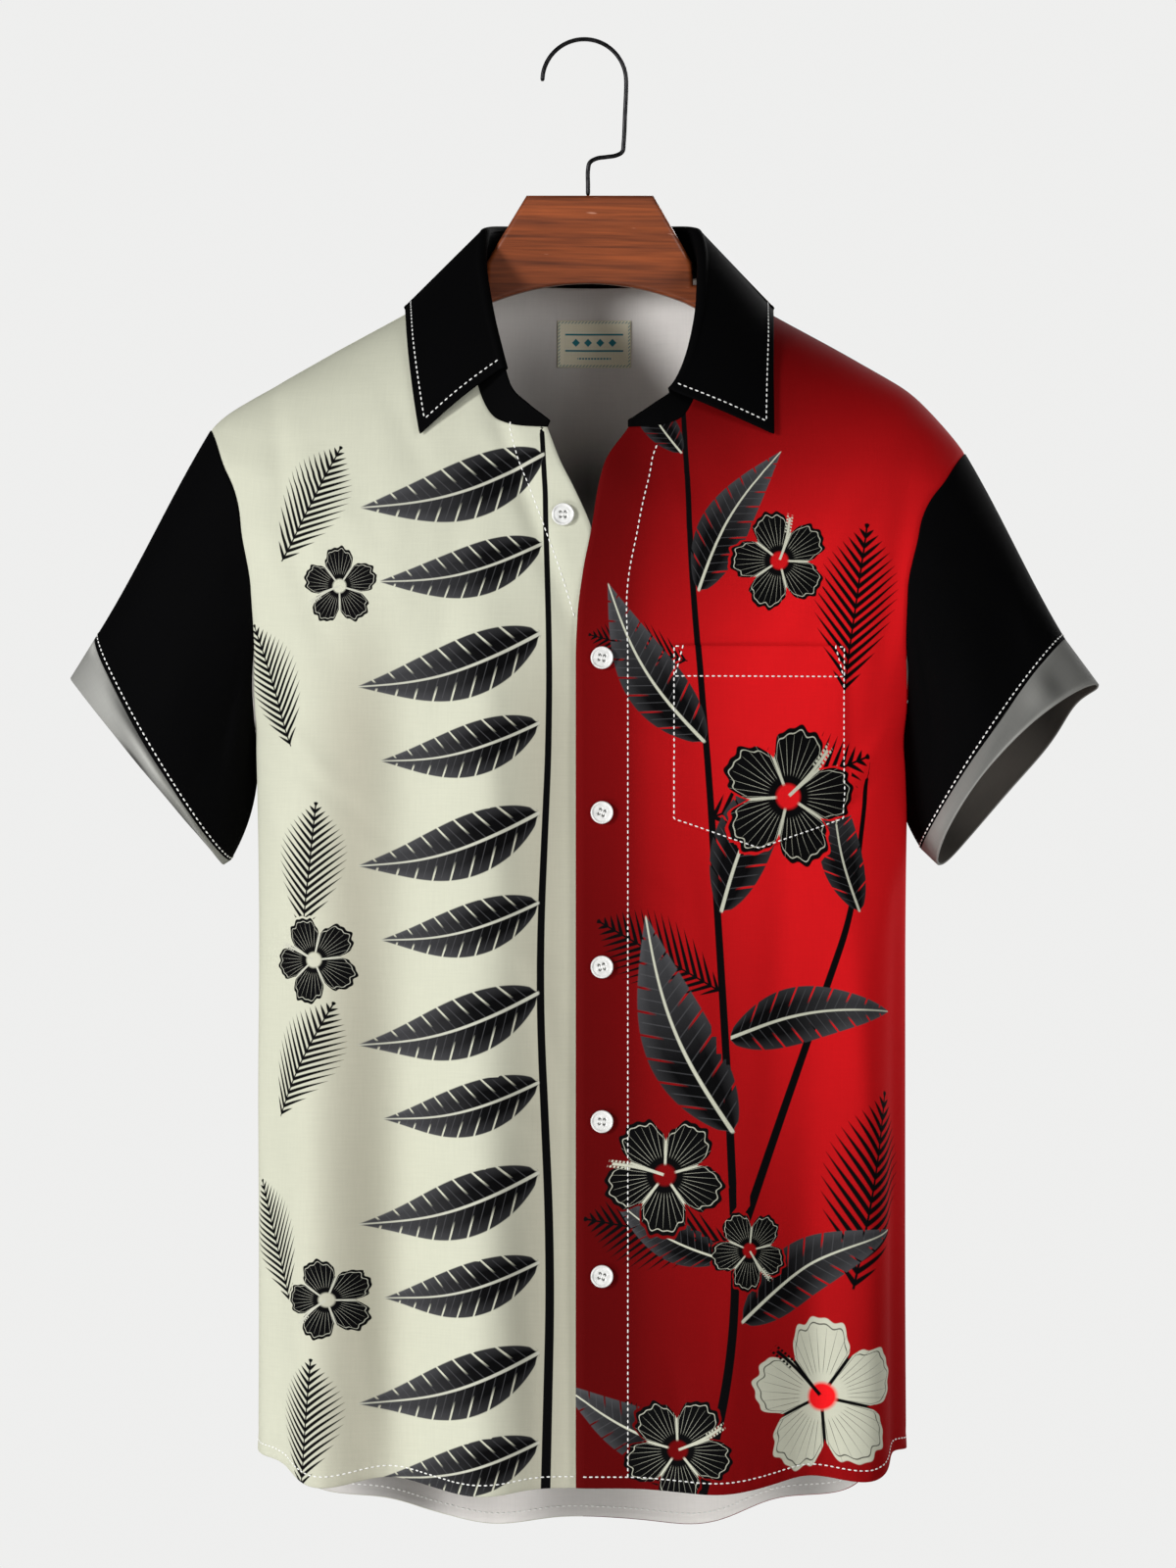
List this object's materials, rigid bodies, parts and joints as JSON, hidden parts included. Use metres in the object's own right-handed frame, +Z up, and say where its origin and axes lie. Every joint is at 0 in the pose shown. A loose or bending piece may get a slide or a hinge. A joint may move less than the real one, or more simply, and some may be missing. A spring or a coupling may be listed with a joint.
{
  "type": "hawaiian shirt on a wooden hanger",
  "caption": "Short-sleeved button-up shirt with a turned-down collar, chest pocket and turned cuffs, hanging open at the neck from a wooden hanger with a wire hook.",
  "frame": {"origin": "underside of the hook's top, where the rail carries the hanger, on the garment's middle plane", "axes": "+Z up, -Y towards the shirt's front, +X towards the wearer's left side"},
  "size_m": [0.6619, 0.1958, 0.9581],
  "materials": {
    "ivory_cloth": "smooth printed cloth, ivory ground",
    "red_cloth": "smooth printed cloth, red ground shading to dark red",
    "black_cloth": "smooth black cloth",
    "reverse_cloth": "unprinted pale reverse of the cloth",
    "label_cloth": "woven cream label",
    "button": "pearly white",
    "stained_wood": "red-brown stained and varnished",
    "black_wire": "black"
  },
  "bodies": {
    "root": {"front_right": "ivory_cloth", "front_left": "red_cloth", "back": "ivory_cloth", "sleeve_right": "black_cloth", "sleeve_left": "black_cloth", "cuff_right": "reverse_cloth", "cuff_left": "reverse_cloth", "collar_stand": "black_cloth", "collar_leaf": "black_cloth", "pocket": "red_cloth", "label": "label_cloth", "button_1": "button", "button_2": "button", "button_3": "button", "button_4": "button", "button_5": "button", "button_6": "button", "hanger_wood": "stained_wood", "hanger_hook": "black_wire"}
  },
  "joints": []
}
